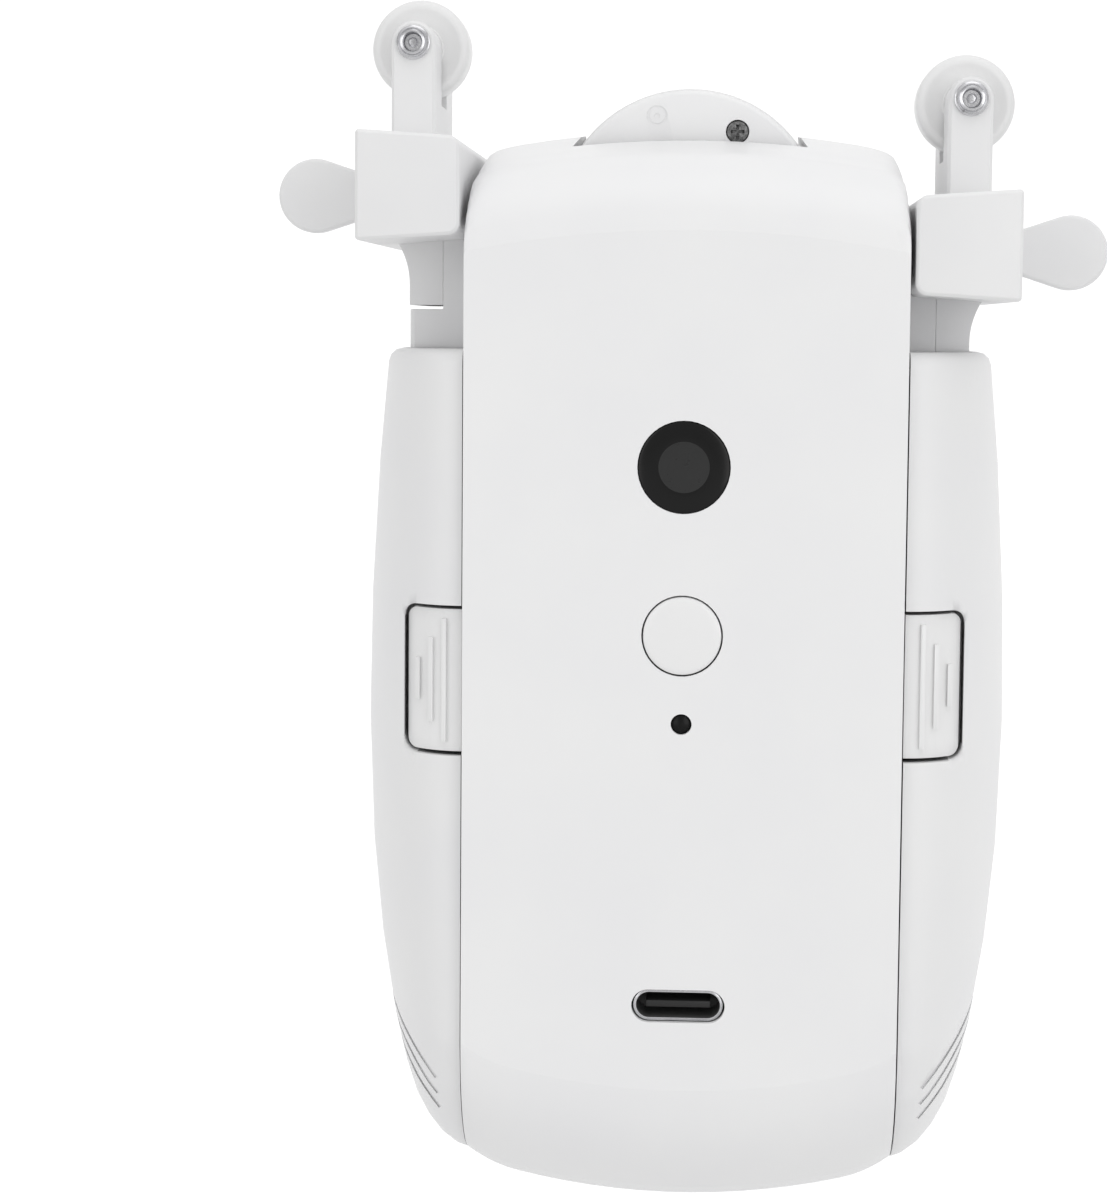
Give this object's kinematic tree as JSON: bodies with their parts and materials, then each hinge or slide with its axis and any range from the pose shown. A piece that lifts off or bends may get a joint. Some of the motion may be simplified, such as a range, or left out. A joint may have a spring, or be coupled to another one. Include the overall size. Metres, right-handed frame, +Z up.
{
  "type": "curtain motor",
  "caption": "Battery curtain driver: tall white housing with a drive wheel in its crowned top, and a roller arm with a thumb screw on each side that hooks it into a slotted rail.",
  "frame": {"origin": "crown of the drive wheel at mid depth, where it presses on the underside of the rail", "axes": "+X to the right seen from the front, along the rail; +Y from the front face to the back; +Z up, towards the rail"},
  "size_m": [0.0872, 0.052, 0.1234],
  "materials": {
    "shell_white": "fine satin, moulded white ABS",
    "cover_white": "fine satin, moulded white ABS",
    "arm_white": "fine satin, moulded white",
    "button_white": "satin",
    "inner_grey": "matt moulded plastic",
    "gear_white": "matt acetal",
    "tyre_white": "matt silicone rubber",
    "roller_white": "matt acetal",
    "window_black": "gloss",
    "lens_dark": "gloss",
    "steel": "bright plated",
    "motor_steel": "satin",
    "screw_black": "black oxide",
    "brass": "turned",
    "board_green": "solder mask",
    "chip_black": "moulded epoxy",
    "cell_wrap": "shrink wrap over metal cans"
  },
  "bodies": {
    "housing": {"front_shell": "shell_white", "rear_shell": "shell_white", "housing_screws": "screw_black", "sensor_window": "window_black", "sensor_lens": "lens_dark", "lamp_lens": "lens_dark", "port_shell": "steel", "port_tongue": "chip_black", "main_board": "board_green", "board_screws": "steel", "tact_switch": "chip_black", "board_chips": "chip_black", "battery_cells": "cell_wrap", "battery_holder": "inner_grey", "motor_can": "motor_steel", "motor_gearbox": "motor_steel", "motor_bracket": "steel", "motor_screws": "steel", "idler_pin": "steel", "axle_bushes": "brass", "wing_screws": "steel", "left_wing_cover": "cover_white", "left_arm_guide": "inner_grey", "left_arm_spring": "steel", "left_latch_springs": "steel", "right_wing_cover": "cover_white", "right_arm_guide": "inner_grey", "right_arm_spring": "steel", "right_latch_springs": "steel"},
    "drive_wheel": {"wheel_core": "inner_grey", "wheel_tyre": "tyre_white", "wheel_front_plate": "shell_white", "wheel_rear_plate": "shell_white", "wheel_screws": "screw_black", "wheel_axle": "steel", "axle_gear": "gear_white"},
    "idler": {"idler_gear": "gear_white"},
    "pinion": {"motor_pinion": "brass"},
    "button": {"set_button": "button_white"},
    "left_arm": {"left_arm_slider": "arm_white", "left_arm_head": "arm_white", "left_arm_screws": "steel", "left_clamp_nut": "brass"},
    "left_fork": {"left_roller_fork": "arm_white", "left_roller_rivet": "steel"},
    "left_roller_wheel": {"left_roller": "roller_white"},
    "left_thumb": {"left_thumb_screw": "arm_white"},
    "left_latch": {"left_release_latch": "button_white"},
    "right_arm": {"right_arm_slider": "arm_white", "right_arm_head": "arm_white", "right_arm_screws": "steel", "right_clamp_nut": "brass"},
    "right_fork": {"right_roller_fork": "arm_white", "right_roller_rivet": "steel"},
    "right_roller_wheel": {"right_roller": "roller_white"},
    "right_thumb": {"right_thumb_screw": "arm_white"},
    "right_latch": {"right_release_latch": "button_white"}
  },
  "joints": [
    {"name": "drive_wheel_spin", "type": "hinge", "parent": "housing", "child": "drive_wheel", "pos_m": [0, 0, -0.01365], "axis": [0, 1, 0], "continuous": true},
    {"name": "idler_spin", "type": "hinge", "parent": "housing", "child": "idler", "pos_m": [0.0065, 0.0151, -0.02772], "axis": [0, 1, 0], "continuous": true},
    {"name": "pinion_spin", "type": "hinge", "parent": "housing", "child": "pinion", "pos_m": [0, 0.0151, -0.04068], "axis": [0, 1, 0], "continuous": true},
    {"name": "set_button_press", "type": "slide", "parent": "housing", "child": "button", "axis": [0, 1, 0], "range_m": [0, 0.0004], "stiffness_N_per_m": 500},
    {"name": "left_arm_slide", "type": "slide", "parent": "housing", "child": "left_arm", "axis": [0, 0, 1], "range_m": [-0.0085, 0.0195], "deforming": ["left_arm_spring"]},
    {"name": "left_fork_slide", "type": "slide", "parent": "left_arm", "child": "left_fork", "axis": [0, 0, 1], "range_m": [0, 0.0025]},
    {"name": "left_roller_spin", "type": "hinge", "parent": "left_fork", "child": "left_roller_wheel", "pos_m": [-0.0284, 0, 0.0045], "axis": [0, 1, 0], "continuous": true},
    {"name": "left_thumb_turn", "type": "hinge", "parent": "left_arm", "child": "left_thumb", "pos_m": [-0.0323, 0, -0.0107], "axis": [-1, 0, 0], "range_deg": [0, 360]},
    {"name": "left_latch_press", "type": "slide", "parent": "housing", "child": "left_latch", "axis": [0, 1, 0], "range_m": [0, 0.0018], "stiffness_N_per_m": 400, "deforming": ["left_latch_springs"]},
    {"name": "right_arm_slide", "type": "slide", "parent": "housing", "child": "right_arm", "axis": [0, 0, 1], "range_m": [-0.00295, 0.02505], "deforming": ["right_arm_spring"]},
    {"name": "right_fork_slide", "type": "slide", "parent": "right_arm", "child": "right_fork", "axis": [0, 0, 1], "range_m": [0, 0.0025]},
    {"name": "right_roller_spin", "type": "hinge", "parent": "right_fork", "child": "right_roller_wheel", "pos_m": [0.0284, 0, -0.00105], "axis": [0, 1, 0], "continuous": true},
    {"name": "right_thumb_turn", "type": "hinge", "parent": "right_arm", "child": "right_thumb", "pos_m": [0.0323, 0, -0.01625], "axis": [1, 0, 0], "range_deg": [0, 360]},
    {"name": "right_latch_press", "type": "slide", "parent": "housing", "child": "right_latch", "axis": [0, 1, 0], "range_m": [0, 0.0018], "stiffness_N_per_m": 400, "deforming": ["right_latch_springs"]}
  ],
  "couplings": [
    {"joint": "idler_spin", "follows": "drive_wheel_spin", "ratio": -0.47619},
    {"joint": "pinion_spin", "follows": "drive_wheel_spin", "ratio": 1.25}
  ]
}
